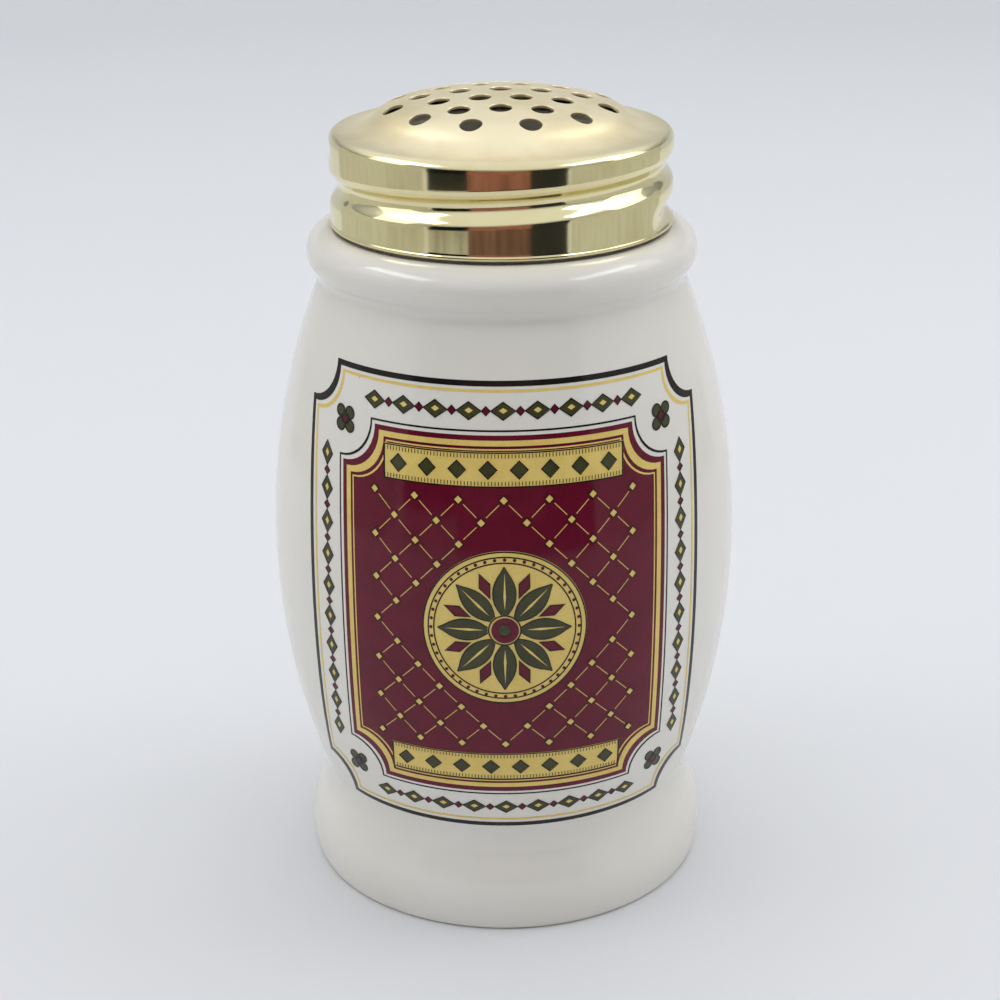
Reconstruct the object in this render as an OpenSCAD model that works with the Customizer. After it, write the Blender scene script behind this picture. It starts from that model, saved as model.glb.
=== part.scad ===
// Shaker for grated hard cheese: a slip-cast, white-glazed barrel jar with a printed
// front, closed by a stamped, gold-lacquered screw cap with a pierced dome.
// It stands on its foot ring at z = 0 and the printed front faces -Y. Millimetres.

/* [Jar] */
// Widest radius of the barrel
barrel_r = 42; // [40:0.5:46]
// Height of the barrel's widest ring
barrel_mid_z = 62.8; // [60:0.2:66]
// Thickness of the cast wall
wall = 4; // [3:0.25:5]
// Thickness of the floor above the hollow foot
floor_t = 5; // [4:0.5:8]
// Rounding inside, where the wall meets the floor
floor_round = 8; // [5:0.5:12]
// Rounding inside, where the wall turns in under the neck
ceiling_round = 6; // [4:0.5:8]

/* [Foot] */
// Widest radius of the foot
foot_r = 37.4; // [36.5:0.1:39]
// Height of the foot's widest ring
foot_mid_z = 5.2; // [4:0.2:7]
// Radius of the foot's rounded side
foot_side_r = 16; // [13:0.5:20]
// Rounding of the hollow waist between foot and barrel
waist_round = 9; // [6:0.5:12]
// Rounding of the bottom edge that the jar stands on
toe_round = 0.9; // [0.5:0.1:1.5]
// Width of the ring that stands on the table
foot_ring_w = 3; // [2:0.25:5]
// Depth of the hollow under the base
recess_h = 1.8; // [1:0.2:3]

/* [Shoulder roll and neck] */
// Radius of the round roll's section
roll_r = 4.1; // [3.5:0.1:4.6]
// Radius from the jar's axis to the middle of the roll
roll_reach = 30.1; // [29.5:0.1:31]
// Height of the middle of the roll
roll_z = 117; // [114:0.5:120]
// How far the roll stands out past the top of the barrel's side
roll_out = 2.16; // [1.5:0.02:3]
// Rounding of the crease between barrel and roll
crease_round = 1.6; // [1:0.1:2.5]
// Gap between the cap's thread and the neck's wall
neck_fit = 0.45; // [0.35:0.05:0.6]
// Thickness of the neck's wall
neck_wall = 4; // [3:0.25:5]
// Height of the raised thread on the neck
ridge_h = 1.3; // [0.9:0.1:1.4]
// Width of the raised thread where it leaves the neck
ridge_base_w = 2.8; // [2:0.1:3]
// Width of the raised thread at its crest
ridge_tip_w = 1; // [0.6:0.1:1.2]
// Turns of raised thread on the neck
ridge_turns = 1.25; // [1:0.05:1.35]

/* [Cap] */
// Outer radius of the cap's skirt
cap_r = 29.75; // [29.25:0.05:30.25]
// Height of the cap from its hem to the top of its dome
cap_h = 22.6; // [22.2:0.1:23]
// Radius of the dome's crown
dome_r = 75; // [70:1:85]
// Radius of the bend where the crown turns down
bend_r = 7.8; // [7:0.1:8.5]
// Radius of the hollow where the dome runs out on its brim
hollow_r = 7.8; // [7:0.1:8.5]
// Radius from the axis to where the flat brim begins
brim_r = 26.25; // [25.5:0.05:27]
// Slope of the brim, in degrees
brim_slope = 6; // [4:1:8]
// Rounding of the shoulder between skirt and brim
shoulder_round = 1.7; // [1.3:0.1:2]
// Height of the middle of that rounding above the hem
shoulder_h = 14.4; // [14.2:0.1:14.8]
// Thickness of the sheet metal
sheet_t = 0.45; // [0.35:0.05:0.55]
// Gap between the cap's hem and the jar's roll when the cap is home
seat_gap = 0.5; // [0.35:0.05:1]
// Height of the curled hem
hem_h = 0.9; // [0.6:0.1:1.2]
// How far the curled hem stands out from the skirt
hem_out = 0.2; // [0.1:0.05:0.3]

/* [Thread] */
// Rise of the thread in one turn
pitch = 7.2; // [7:0.1:7.4]
// Depth of the rolled groove
groove_depth = 1.5; // [1.2:0.05:1.6]
// Width of the rolled groove
groove_w = 6.2; // [5.4:0.1:6.2]
// Height of the groove above the hem at the cap's right-hand side
groove_z = 3.2; // [3:0.1:3.6]

/* [Shaker holes] */
// Diameter of a shaker hole
hole_d = 3.8; // [3:0.1:4.4]
// Spacing of the holes in the middle field
hole_pitch = 6.95; // [6.4:0.05:7.2]
// Radius of the outer ring of holes
ring_r = 18.9; // [18.4:0.1:21]
// Number of holes in the outer ring
ring_holes = 12; // [8:1:12]

/* [Seal] */
// Thickness of the seal at its outer edge
seal_edge_t = 0.8; // [0.6:0.1:1]
// Width of the seal ring
seal_w = 3.6; // [3:0.1:3.8]
// Gap between the seal and what it closes on
seal_gap = 0.3; // [0.3:0.02:0.4]

/* [Printed front] */
// Height of the middle of the print
print_z = 62; // [61:0.5:63]
// Half of the width of the printed frame, along the curve of the barrel
frame_half_w = 38.5; // [37:0.5:40]
// Half of the height of the printed frame
frame_half_h = 41.5; // [40.5:0.5:42]
// Width of the border between the frame's line and the wine-red field, at the sides
border_w = 8.1; // [7:0.1:9]
// Height of that border above and below the field
border_h = 7.6; // [7:0.1:9]
// Radius of the scooped corners
corner_scoop = 7; // [5:0.5:9]
// Width of the printed lines
line_w = 0.9; // [0.6:0.1:1.1]
// Outer radius of the round device in the middle
device_r = 14; // [12:0.5:15]
// Spacing of the small lozenges that are sown over the field
sowing = 7.5; // [6.5:0.5:9]
// Thickness of one printed colour
ink_t = 0.06; // [0.05:0.01:0.1]

/* [Hidden] */
$fn = 360;

// Overrun of every cut past the face that it opens
over = 1;

// Colours
glaze_white = "#eceae4";
cap_gold = "#d9c98a";
seal_grey = "#c9c4b8";
ink_green = "#4a4a2c";
ink_wine = "#6d1f33";
ink_straw = "#e3cc6a";
ink_dark = "#2a2622";

// Where two circles about a and b, of radii ra and rb, cross: right and left of the way to b
function crossings(a, ra, b, rb) =
    let (
        d = norm(b - a),
        u = (b - a) / d,
        along = (ra * ra - rb * rb + d * d) / (2 * d),
        side = sqrt(ra * ra - along * along),
        p = a + along * u,
        n = side * [u.y, -u.x]
    )
    [p + n, p - n];

// Where two circles cross on the side away from the axis
function meet(a, ra, b, rb) =
    let (p = crossings(a, ra, b, rb))
    p[0].x > p[1].x ? p[0] : p[1];

// The point of a circle about c, of radius r, on the line from c towards p
function on_circle(c, r, p) = c + (p - c) * r / norm(p - c);

// Height on a circle about c, of radius r, at the distance x from the axis
function arc_z(c, r, x) = c.y + sqrt(r * r - (x - c.x) * (x - c.x));

// Jar outline: the circles that its side is made of. The barrel's arc is the one that leads
// from its widest ring up to the point where it passes under the roll.
barrel_top = [roll_reach + roll_r - roll_out, roll_z - roll_r];
barrel_sag = barrel_r - barrel_top.x;
barrel_rise = barrel_top.y - barrel_mid_z;
barrel_arc_r = (barrel_sag * barrel_sag + barrel_rise * barrel_rise) / (2 * barrel_sag);
barrel_c = [barrel_r - barrel_arc_r, barrel_mid_z];
foot_c = [foot_r - foot_side_r, foot_mid_z];
roll_c = [roll_reach, roll_z];
waist_c = meet(foot_c, foot_side_r + waist_round, barrel_c, barrel_arc_r + waist_round);
crease_c = meet(barrel_c, barrel_arc_r + crease_round, roll_c, roll_r + crease_round);
toe_c = [
    foot_c.x + sqrt(pow(foot_side_r - toe_round, 2) - pow(foot_mid_z - toe_round, 2)),
    toe_round
];
barrel_low = on_circle(barrel_c, barrel_arc_r, waist_c);
recess_r = toe_c.x - foot_ring_w;

// Hollow of the jar
hollow_arc_r = barrel_arc_r - wall;
floor_z = recess_h + floor_t;
floor_c = [
    barrel_c.x + sqrt(pow(hollow_arc_r - floor_round, 2) - pow(floor_z + floor_round - barrel_mid_z, 2)),
    floor_z + floor_round
];
ceiling_z = roll_z + roll_r - wall - ceiling_round;
ceiling_c = [
    barrel_c.x + sqrt(pow(hollow_arc_r - ceiling_round, 2) - pow(ceiling_z - barrel_mid_z, 2)),
    ceiling_z
];

// Cap: where it sits, its shoulder, and the crown, bend and hollow that its dome is made of
cap_z = roll_z + roll_r + seat_gap;
cap_in_r = cap_r - sheet_t;
shoulder_in = shoulder_round - sheet_t;
shoulder_c = [cap_r - shoulder_round, cap_z + shoulder_h];
dome_c = [0, cap_z + cap_h - dome_r];

// Height of a line that follows the brim at the distance d from the shoulder's middle
function brim_z(x, d) = shoulder_c.y + d / cos(brim_slope) + (shoulder_c.x - x) * tan(brim_slope);
hollow_c = [brim_r, brim_z(brim_r, shoulder_round)] + hollow_r * [sin(brim_slope), cos(brim_slope)];
bend_c = crossings(dome_c, dome_r - bend_r, hollow_c, bend_r + hollow_r)[1];
crown_edge = bend_c.x * dome_r / (dome_r - bend_r);

// Height and slope of the crown and its bend at the distance x from the axis
function crown_z(x) = x < crown_edge ? arc_z(dome_c, dome_r, x) : arc_z(bend_c, bend_r, x);
function crown_slope(x) = x < crown_edge ? asin(x / dome_r) : asin((x - bend_c.x) / bend_r);

// Seal: a wedge ring between the brim's underside and the lip
seal_out_r = shoulder_c.x;
seal_in_r = seal_out_r - seal_w;
function seal_top(x) = brim_z(x, shoulder_in - seal_gap);
seal_z = seal_top(seal_out_r) - seal_edge_t;

// Neck: it fits inside the cap's thread and reaches up to the seal
neck_r = cap_in_r - groove_depth - neck_fit;
mouth_r = neck_r - neck_wall;
lip_round = neck_wall / 2;
lip_z = seal_z - seal_gap;
lip_c = [mouth_r + lip_round, lip_z - lip_round];

// Thread: a right-handed helix, the same for the cap's groove and the neck's ridge.
// Angles are seen from above, counted from +X.
groove_start = -10;
groove_end = 532;
groove_fade = 25;
ridge_mid = -40;
ridge_fade = 20;
function helix_z(a) = cap_z + groove_z + pitch * a / 360;
function ramp(t) = t <= 0 ? 0 : t >= 1 ? 1 : t * t * (3 - 2 * t);
function fade_in(a, a0, a1, w) = ramp((a - a0) / w + 1) * ramp((a1 - a) / w + 1);

// Depth of the groove at the angle a and the height z
function strand(a, z) =
    let (u = 2 * abs(z - helix_z(a)) / groove_w)
    u >= 1 ? 0 : groove_depth * (1 + cos(180 * u)) / 2
        * fade_in(a, groove_start, groove_end, groove_fade);
function groove(a, z) = max([for (turn = [-1:1]) strand(a + 360 * turn, z)]);

// Four corners, clockwise from outside, as two triangles
function quad(a, b, c, d) = [[a, b, c], [a, c, d]];

// Angle of the line from c to p
function bearing(c, p) = atan2(p.y - c.y, p.x - c.x);

// Points along an arc about c, of radius r, from the angle a0 to a1, without its first. Its
// chords are as long as arc_step, or longer on a wide arc while they stay within arc_sag of it.
arc_step = 1.2;
arc_sag = 0.02;
function arc(c, r, a0, a1) =
    let (
        chord = max(arc_step, sqrt(8 * r * arc_sag)),
        n = max(3, ceil(abs(a1 - a0) / 180 * PI * r / chord))
    )
    [for (i = [1:n]) let (a = a0 + (a1 - a0) * i / n) c + r * [cos(a), sin(a)]];

// The jar's section: up its outside from the hollow foot, over the lip and down its inside
module jar_section() {
    roll_end = acos(max(-1, (neck_r - roll_reach) / roll_r));
    ceiling_end = acos(min(1, max(0, (mouth_r - ceiling_c.x) / ceiling_round)));
    polygon(concat(
        [[0, recess_h], [recess_r, recess_h], [recess_r, 0], [toe_c.x, 0]],
        arc(toe_c, toe_round, -90, bearing(foot_c, toe_c)),
        arc(foot_c, foot_side_r, bearing(foot_c, toe_c), bearing(foot_c, waist_c)),
        arc(waist_c, waist_round, bearing(waist_c, foot_c) + 360, bearing(waist_c, barrel_c)),
        arc(barrel_c, barrel_arc_r, bearing(barrel_c, waist_c), bearing(barrel_c, crease_c)),
        arc(crease_c, crease_round, bearing(crease_c, barrel_c) + 360, bearing(crease_c, roll_c)),
        arc(roll_c, roll_r, bearing(roll_c, crease_c), roll_end),
        [[neck_r, lip_c.y]],
        arc(lip_c, lip_round, 0, 180),
        [[mouth_r, ceiling_c.y + ceiling_round * sin(ceiling_end)]],
        arc(ceiling_c, ceiling_round, ceiling_end, bearing(barrel_c, ceiling_c)),
        arc(barrel_c, hollow_arc_r, bearing(barrel_c, ceiling_c), bearing(barrel_c, floor_c)),
        arc(floor_c, floor_round, bearing(barrel_c, floor_c), -90),
        [[0, floor_z]]
    ));
}

// The raised thread: a four-sided section wound round the neck, sunk in it at both ends
ridge_step = 7.5;
module neck_ridge() {
    half_sweep = 180 * ridge_turns;
    a0 = ridge_mid - half_sweep;
    a1 = ridge_mid + half_sweep;
    steps = round((a1 - a0) / ridge_step);
    sunk_r = neck_r - neck_wall / 5;
    rings = [for (i = [0:steps])
        let (
            a = a0 + (a1 - a0) * i / steps,
            rise = fade_in(a, a0 + ridge_fade, a1 - ridge_fade, ridge_fade),
            tip_r = sunk_r + (neck_r + ridge_h - sunk_r) * (0.1 + 0.9 * rise),
            z = helix_z(a) + pitch / 2,
            base = ridge_base_w / 2,
            tip = ridge_tip_w / 2
        )
        [for (p = [[sunk_r, z - base], [tip_r, z - tip], [tip_r, z + tip], [sunk_r, z + base]])
            [p[0] * cos(a), p[0] * sin(a), p[1]]]
    ];
    points = [for (ring = rings) each ring];
    sides = [for (i = [0:steps - 1]) for (k = [0:3])
        let (
            p = 4 * i + k,
            q = 4 * i + (k + 1) % 4
        )
        each quad(p, q, q + 4, p + 4)
    ];
    last = 4 * steps;
    polyhedron(points, concat(quad(3, 2, 1, 0), sides, quad(last, last + 1, last + 2, last + 3)));
}

module jar_body() {
    color(glaze_white) union() {
        rotate_extrude() jar_section();
        neck_ridge();
    }
}

module seal_ring() {
    color(seal_grey) rotate_extrude() polygon([
        [seal_in_r, seal_z],
        [seal_out_r, seal_z],
        [seal_out_r, seal_top(seal_out_r)],
        [seal_in_r, seal_top(seal_in_r)]
    ]);
}

// Where the faceted skirt hands over to the true rings of the dome, part of the way round
// the shoulder, at a height that is rounded so that both end in the same plane
grain = 0.01;
join_turn = 40;
join_z = grain * round((shoulder_c.y + shoulder_round * sin(join_turn)) / grain);
join_rise = join_z - shoulder_c.y;
join_in_turn = asin(join_rise / shoulder_in);
join_x = shoulder_c.x + sqrt(shoulder_round * shoulder_round - join_rise * join_rise);
join_in_x = shoulder_c.x + sqrt(shoulder_in * shoulder_in - join_rise * join_rise);
join_lap = sheet_t / 5;
skirt_steps = 72;
skirt_rows = 19;
lining_rows = 15;

// Profile points of the skirt: distance from the axis and height, up the outside
// from the hem to the dome and down the inside back to the hem
skirt_low = cap_z + hem_h;
function rows(x, z0, z1, n) = [for (i = [0:n]) [x, z0 + (z1 - z0) * i / n]];
function turn(c, r, a0, a1, n) = [for (i = [1:n])
    let (a = a0 + (a1 - a0) * i / n)
    c + r * [cos(a), sin(a)]];
skirt_profile = concat(
    [[cap_r - sheet_t / 2, cap_z], [cap_r + hem_out, cap_z + hem_h / 3], [cap_r + hem_out, cap_z + hem_h * 2 / 3]],
    rows(cap_r, skirt_low, shoulder_c.y, skirt_rows),
    turn(shoulder_c, shoulder_round, 0, join_turn * 3 / 4, 3),
    [[join_x + join_lap, join_z], [join_in_x - join_lap, join_z]],
    [for (i = [3:-1:0]) shoulder_c + shoulder_in * [cos(join_in_turn * i / 4), sin(join_in_turn * i / 4)]],
    [for (i = [lining_rows - 1:-1:0]) [cap_in_r, cap_z + (shoulder_c.y - cap_z) * i / lining_rows]]
);

// The groove fades out over the rounding of the shoulder
function groove_hold(z) = ramp((join_z - z) / (join_z - shoulder_c.y + shoulder_round));

module skirt() {
    m = len(skirt_profile);
    points = [for (i = [0:skirt_steps - 1]) for (p = skirt_profile)
        let (
            a = 360 * (i + 0.5) / skirt_steps,
            r = p[0] - groove(a, p[1]) * groove_hold(p[1])
        )
        [r * cos(a), r * sin(a), p[1]]
    ];
    faces = [for (i = [0:skirt_steps - 1]) for (k = [0:m - 1])
        let (
            j = (i + 1) % skirt_steps,
            n = (k + 1) % m
        )
        each quad(i * m + k, i * m + n, j * m + n, j * m + k)
    ];
    polyhedron(points, faces);
}

// Places of the shaker holes: a six-sided field of rows and an outer ring
field_rows = 2;
row_rise = sqrt(3) / 2;
field_holes = [for (j = [-field_rows:field_rows])
    let (n = 2 * field_rows + 1 - abs(j))
    for (i = [0:n - 1])
        hole_pitch * [i - (n - 1) / 2, j * row_rise]];
outer_holes = [for (i = [0:ring_holes - 1])
    let (a = 360 * (i + 0.5) / ring_holes)
    ring_r * [sin(a), -cos(a)]];

module shaker_hole(p) {
    x = norm(p);
    translate([p[0], p[1], crown_z(x)])
        rotate([0, crown_slope(x), atan2(p[1], p[0])])
            translate([0, 0, -sheet_t - over])
                cylinder(r = hole_d / 2, h = sheet_t + 2 * over);
}

// The dome's section: from the shoulder over brim, hollow, bend and crown to the axis, and
// back along its underside
module dome_section() {
    brim_turn = 90 - brim_slope;
    steepest = bearing(bend_c, hollow_c);
    crown_turn = bearing(dome_c, bend_c);
    polygon(concat(
        [[join_x, join_z]],
        arc(shoulder_c, shoulder_round, join_turn, brim_turn),
        [[brim_r, brim_z(brim_r, shoulder_round)]],
        arc(hollow_c, hollow_r, brim_turn - 180, steepest - 180),
        arc(bend_c, bend_r, steepest, crown_turn),
        arc(dome_c, dome_r, crown_turn, 90),
        [[0, dome_c.y + dome_r - sheet_t]],
        arc(dome_c, dome_r - sheet_t, 90, crown_turn),
        arc(bend_c, bend_r - sheet_t, crown_turn, steepest),
        arc(hollow_c, hollow_r + sheet_t, steepest - 180, brim_turn - 180),
        [shoulder_c + shoulder_in * [cos(brim_turn), sin(brim_turn)]],
        arc(shoulder_c, shoulder_in, brim_turn, join_in_turn + join_lap / shoulder_in),
        [[join_in_x, join_z]]
    ));
}

module shaker_cap() {
    color(cap_gold) union() {
        skirt();
        difference() {
            rotate_extrude() dome_section();
            for (p = concat(field_holes, outer_holes)) shaker_hole(p);
        }
    }
}

// The print is laid over the glaze in flat facets. A facet dips below the curve that it
// follows, so each colour lies clear of what is under it by more than its own dip.
facet_w = 2.5;
facet_h = 3.5;
facet_dip = facet_w * facet_w / (8 * barrel_r) + facet_h * facet_h / (8 * barrel_arc_r);
ink_gap = facet_dip + ink_t / 8;
function ink_level(layer) = ink_gap + layer * (ink_t + ink_gap);

// Radius of the jar's side at the height z, d out from the glaze
function side_r(z, d) = z < barrel_low.y
    ? waist_c.x - sqrt(pow(waist_round - d, 2) - pow(z - waist_c.y, 2))
    : barrel_c.x + sqrt(pow(barrel_arc_r + d, 2) - pow(z - barrel_c.y, 2));

// The place p = [u, v] on the jar's front: u along its curve, v up from the print's middle
function place(p, d) =
    let (
        z = print_z + p[1],
        a = p[0] / side_r(z, 0) * 180 / PI,
        r = side_r(z, d)
    )
    [r * sin(a), -r * cos(a), z];

// A skin of one colour over a grid of places. The rows run to the right, the places in a
// row run up, and a closed grid joins its last row to its first.
module skin(grid, layer, closed = false) {
    n = len(grid);
    m = len(grid[0]);
    places = [for (row = grid) each row];
    top = len(places);
    points = [for (d = [0, ink_t]) for (p = places) place(p, ink_level(layer) + d)];
    row_faces = [for (i = [0:closed ? n - 1 : n - 2])
        let (
            a = i * m,
            b = (i + 1) % n * m,
            c = m - 1
        )
        each concat(
            [for (j = [0:m - 2]) each quad(top + a + j, top + a + j + 1, top + b + j + 1, top + b + j)],
            [for (j = [0:m - 2]) each quad(a + j, b + j, b + j + 1, a + j + 1)],
            quad(top + a, top + b, b, a),
            quad(top + b + c, top + a + c, a + c, b + c))
    ];
    z = (n - 1) * m;
    end_faces = [for (j = [0:m - 2])
        each concat(
            quad(top + j + 1, top + j, j, j + 1),
            quad(top + z + j, top + z + j + 1, z + j + 1, z + j))
    ];
    polyhedron(points, closed ? row_faces : concat(row_faces, end_faces));
}

// Numbers from a to b in steps of about s
function span(a, b, s) = let (n = ceil(abs(b - a) / s)) [for (i = [0:n]) a + (b - a) * i / n];

// Half the height of a panel with scooped corners, at the distance u from its middle
function panel_h(u, w, h, scoop) = abs(u) <= w - scoop ? h
    : h - sqrt(max(0, scoop * scoop - pow(w - abs(u), 2)));

// The outline of such a panel, from the bottom left corner round to the right and up
scoop_steps = 5;
function scooped(w, h, scoop) = concat(
    [for (u = span(scoop - w, w - scoop, facet_w)) [u, -h]],
    [for (i = [1:scoop_steps - 1]) let (a = 90 * i / scoop_steps) [w - scoop * cos(a), scoop * sin(a) - h]],
    [for (v = span(scoop - h, h - scoop, facet_h)) [w, v]],
    [for (i = [1:scoop_steps - 1]) let (a = 90 * i / scoop_steps) [w - scoop * sin(a), h - scoop * cos(a)]],
    [for (u = span(w - scoop, scoop - w, facet_w)) [u, h]],
    [for (i = [1:scoop_steps - 1]) let (a = 90 * i / scoop_steps) [scoop * cos(a) - w, h - scoop * sin(a)]],
    [for (v = span(h - scoop, scoop - h, facet_h)) [-w, v]],
    [for (i = [1:scoop_steps - 1]) let (a = 90 * i / scoop_steps) [scoop * sin(a) - w, scoop * cos(a) - h]]
);

// A line drawn along the inside of a panel's edge
module frame_line(w, h, layer) {
    inner_share = 1 - line_w / w;
    rise_share = 1 - line_w / h;
    skin([for (p = scooped(w, h, corner_scoop)) [p, [p[0] * inner_share, p[1] * rise_share]]],
        layer, closed = true);
}

// A lozenge, w wide and h high, about the place p
module lozenge(p, w, h, layer) {
    skin([[[p[0] - w / 2, p[1]], [p[0], p[1] + h / 2]], [[p[0], p[1] - h / 2], [p[0] + w / 2, p[1]]]], layer);
}

// A ring about the middle of the print
module device_ring(r_in, r_out, layer) {
    steps = 36;
    skin([for (i = [0:steps - 1])
        [for (r = span(r_out, r_in, facet_h)) r * [cos(360 * i / steps), sin(360 * i / steps)]]],
        layer, closed = true);
}

// A petal that points away from the middle of the print, at the angle a
petals = 8;
petal_shares = [0.3, 0.85, 1, 0.7, 0.15];
petal_half_w = device_r / 7;
petal_root = device_r / 5;
petal_tip = device_r - 3 * line_w;
module petal(a) {
    n = len(petal_shares) - 1;
    skin([for (i = [0:n])
        let (
            r = petal_root + (petal_tip - petal_root) * i / n,
            w = petal_half_w * petal_shares[i]
        )
        [[r * cos(a) + w * sin(a), r * sin(a) - w * cos(a)], [r * cos(a) - w * sin(a), r * sin(a) + w * cos(a)]]],
        2);
}

// The wine-red field, and the chain of lozenges that runs round it in the border
field_half_w = frame_half_w - line_w - border_w;
field_half_h = frame_half_h - line_w - border_h;
border_u = field_half_w + border_w / 2;
border_v = field_half_h + border_h / 2;
link_w = border_w / 3;
link_h = border_w / 2;
chain_u = field_half_w - corner_scoop;
chain_v = field_half_h - corner_scoop;
link_pitch = 1.5 * link_h;
chain_rows = span(-chain_v, chain_v, link_pitch);
chain_columns = span(-chain_u, chain_u, link_pitch);

function between(list) = [for (i = [1:len(list) - 1]) (list[i - 1] + list[i]) / 2];

// Columns of the wine-red field, closer together where a corner is scooped
field_columns = concat(
    [for (i = [0:scoop_steps - 1]) -field_half_w + corner_scoop * (1 - cos(90 * i / scoop_steps))],
    span(corner_scoop - field_half_w, field_half_w - corner_scoop, facet_w),
    [for (i = [scoop_steps - 1:-1:0]) field_half_w - corner_scoop * (1 - cos(90 * i / scoop_steps))]
);

// The bars at the head and the foot of the field
bar_half_w = field_half_w - corner_scoop - 2 * line_w;
bar_h = border_w * 0.7;
bar_v = field_half_h - 3 * line_w - bar_h / 2;
bar_places = span(bar_h / 2 - bar_half_w, bar_half_w - bar_h / 2, bar_h);

// The small lozenges sown over the field, clear of the bars and the device
sown_w = sowing / 5;
sown = [for (i = [-5:5]) for (j = [-9:9])
    let (p = sowing * [i + (j % 2 == 0 ? 0 : 1 / 2), j / 2])
    if (abs(p[0]) < field_half_w - 3 * line_w - sown_w
        && abs(p[1]) < bar_v - bar_h / 2 - sown_w
        && norm(p) > device_r + sown_w)
    p];

module print_wine() {
    color(ink_wine) {
        skin([for (u = field_columns)
            let (h = panel_h(u, field_half_w, field_half_h, corner_scoop))
            [for (share = span(-1, 1, facet_h / field_half_h)) [u, h * share]]
        ], 0);
        for (s = [-1, 1]) {
            for (v = between(chain_rows)) lozenge([s * border_u, v], link_w / 2, link_w / 2, 0);
            for (u = between(chain_columns)) lozenge([u, s * border_v], link_w / 2, link_w / 2, 0);
        }
    }
}

module print_green() {
    color(ink_green) {
        for (s = [-1, 1]) {
            for (v = chain_rows) lozenge([s * border_u, v], link_w, link_h, 0);
            for (u = chain_columns) lozenge([u, s * border_v], link_h, link_w, 0);
            for (u = bar_places) lozenge([u, s * bar_v], bar_h / 2, bar_h / 2, 2);
        }
        for (i = [0:petals - 1]) petal(360 * i / petals);
    }
}

module print_straw() {
    color(ink_straw) {
        frame_line(field_half_w - line_w, field_half_h - line_w, 1);
        for (s = [-1, 1])
            skin([for (u = span(-bar_half_w, bar_half_w, facet_w))
                [for (v = span(-bar_h / 2, bar_h / 2, facet_h)) [u, s * bar_v + v]]], 1);
        for (p = sown) lozenge(p, sown_w, sown_w, 1);
        device_ring(petal_root / 2, device_r, 1);
    }
}

module print_dark() {
    color(ink_dark) {
        frame_line(frame_half_w, frame_half_h, 0);
        device_ring(device_r - 2 * line_w, device_r - line_w, 2);
        device_ring(petal_root / 2, petal_root - line_w / 2, 2);
    }
}

jar_body();
seal_ring();
shaker_cap();
print_wine();
print_green();
print_straw();
print_dark();
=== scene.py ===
import math

import bmesh
import bpy
from mathutils import Matrix, Vector


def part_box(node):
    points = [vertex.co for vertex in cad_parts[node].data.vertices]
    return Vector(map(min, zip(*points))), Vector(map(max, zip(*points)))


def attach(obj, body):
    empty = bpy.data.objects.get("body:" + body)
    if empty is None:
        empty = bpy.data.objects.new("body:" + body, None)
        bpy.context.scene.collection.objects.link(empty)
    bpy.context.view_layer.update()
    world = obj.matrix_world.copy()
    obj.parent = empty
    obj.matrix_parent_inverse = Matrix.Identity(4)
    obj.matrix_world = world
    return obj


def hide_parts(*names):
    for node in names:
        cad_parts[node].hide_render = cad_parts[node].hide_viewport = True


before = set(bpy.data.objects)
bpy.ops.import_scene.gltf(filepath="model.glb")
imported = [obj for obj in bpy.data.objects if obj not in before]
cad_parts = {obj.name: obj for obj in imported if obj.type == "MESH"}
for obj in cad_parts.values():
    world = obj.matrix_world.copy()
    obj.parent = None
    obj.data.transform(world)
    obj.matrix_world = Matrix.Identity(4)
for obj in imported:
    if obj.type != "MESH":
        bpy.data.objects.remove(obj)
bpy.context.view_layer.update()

# Glazed jar
# Slip-cast earthenware, 4 mm thick: foot, hollow waist, barrel, shoulder roll and threaded
# neck are one casting. It is glazed white inside and out, and only the ring that it stands
# on is wiped bare before firing.
mm = 0.001
barrel_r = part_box("jar_body")[1].x
barrel_arc_r = 131 * mm
barrel_mid_z = 62.8 * mm
foot_r = 37.4 * mm
foot_mid_z = 5.2 * mm
foot_side_r = 16 * mm
waist_round = 9 * mm
toe_round = 0.9 * mm
foot_ring_w = 3 * mm
foot_ring_edge = 0.3 * mm
recess_h = 1.8 * mm
recess_round = 0.8 * mm
floor_t = 5 * mm
floor_round = 8 * mm
ceiling_round = 6 * mm
wall = 4 * mm
roll_r = 4.1 * mm
roll_c = Vector((30.1, 117)) * mm
crease_round = 2.2 * mm
neck_r = 27.35 * mm
neck_fillet = 0.8 * mm
mouth_r = neck_r - wall
lip_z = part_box("jar_body")[1].z
lip_round = wall / 2
ridge_h = 1.3 * mm
ridge_w = 3.2 * mm
ridge_mid = -40
ridge_turns = 1.25
ridge_fade = 28
ridge_steepness = 1.35
pitch = 7.2 * mm
turn_steps = 288


def meet(a, ra, b, rb, pick=max):
    """Where two circles about a and b meet: of the two points, the one farther from the jar's
    axis, or with min for pick the nearer one."""
    d = (b - a).length
    along = (ra * ra - rb * rb + d * d) / (2 * d)
    side = math.sqrt(ra * ra - along * along)
    u = (b - a) / d
    foot = a + u * along
    points = (foot + Vector((u.y, -u.x)) * side, foot - Vector((u.y, -u.x)) * side)
    return pick(points, key=lambda p: p.x)


def bearing(centre, point):
    return math.atan2(point.y - centre.y, point.x - centre.x)


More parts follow.
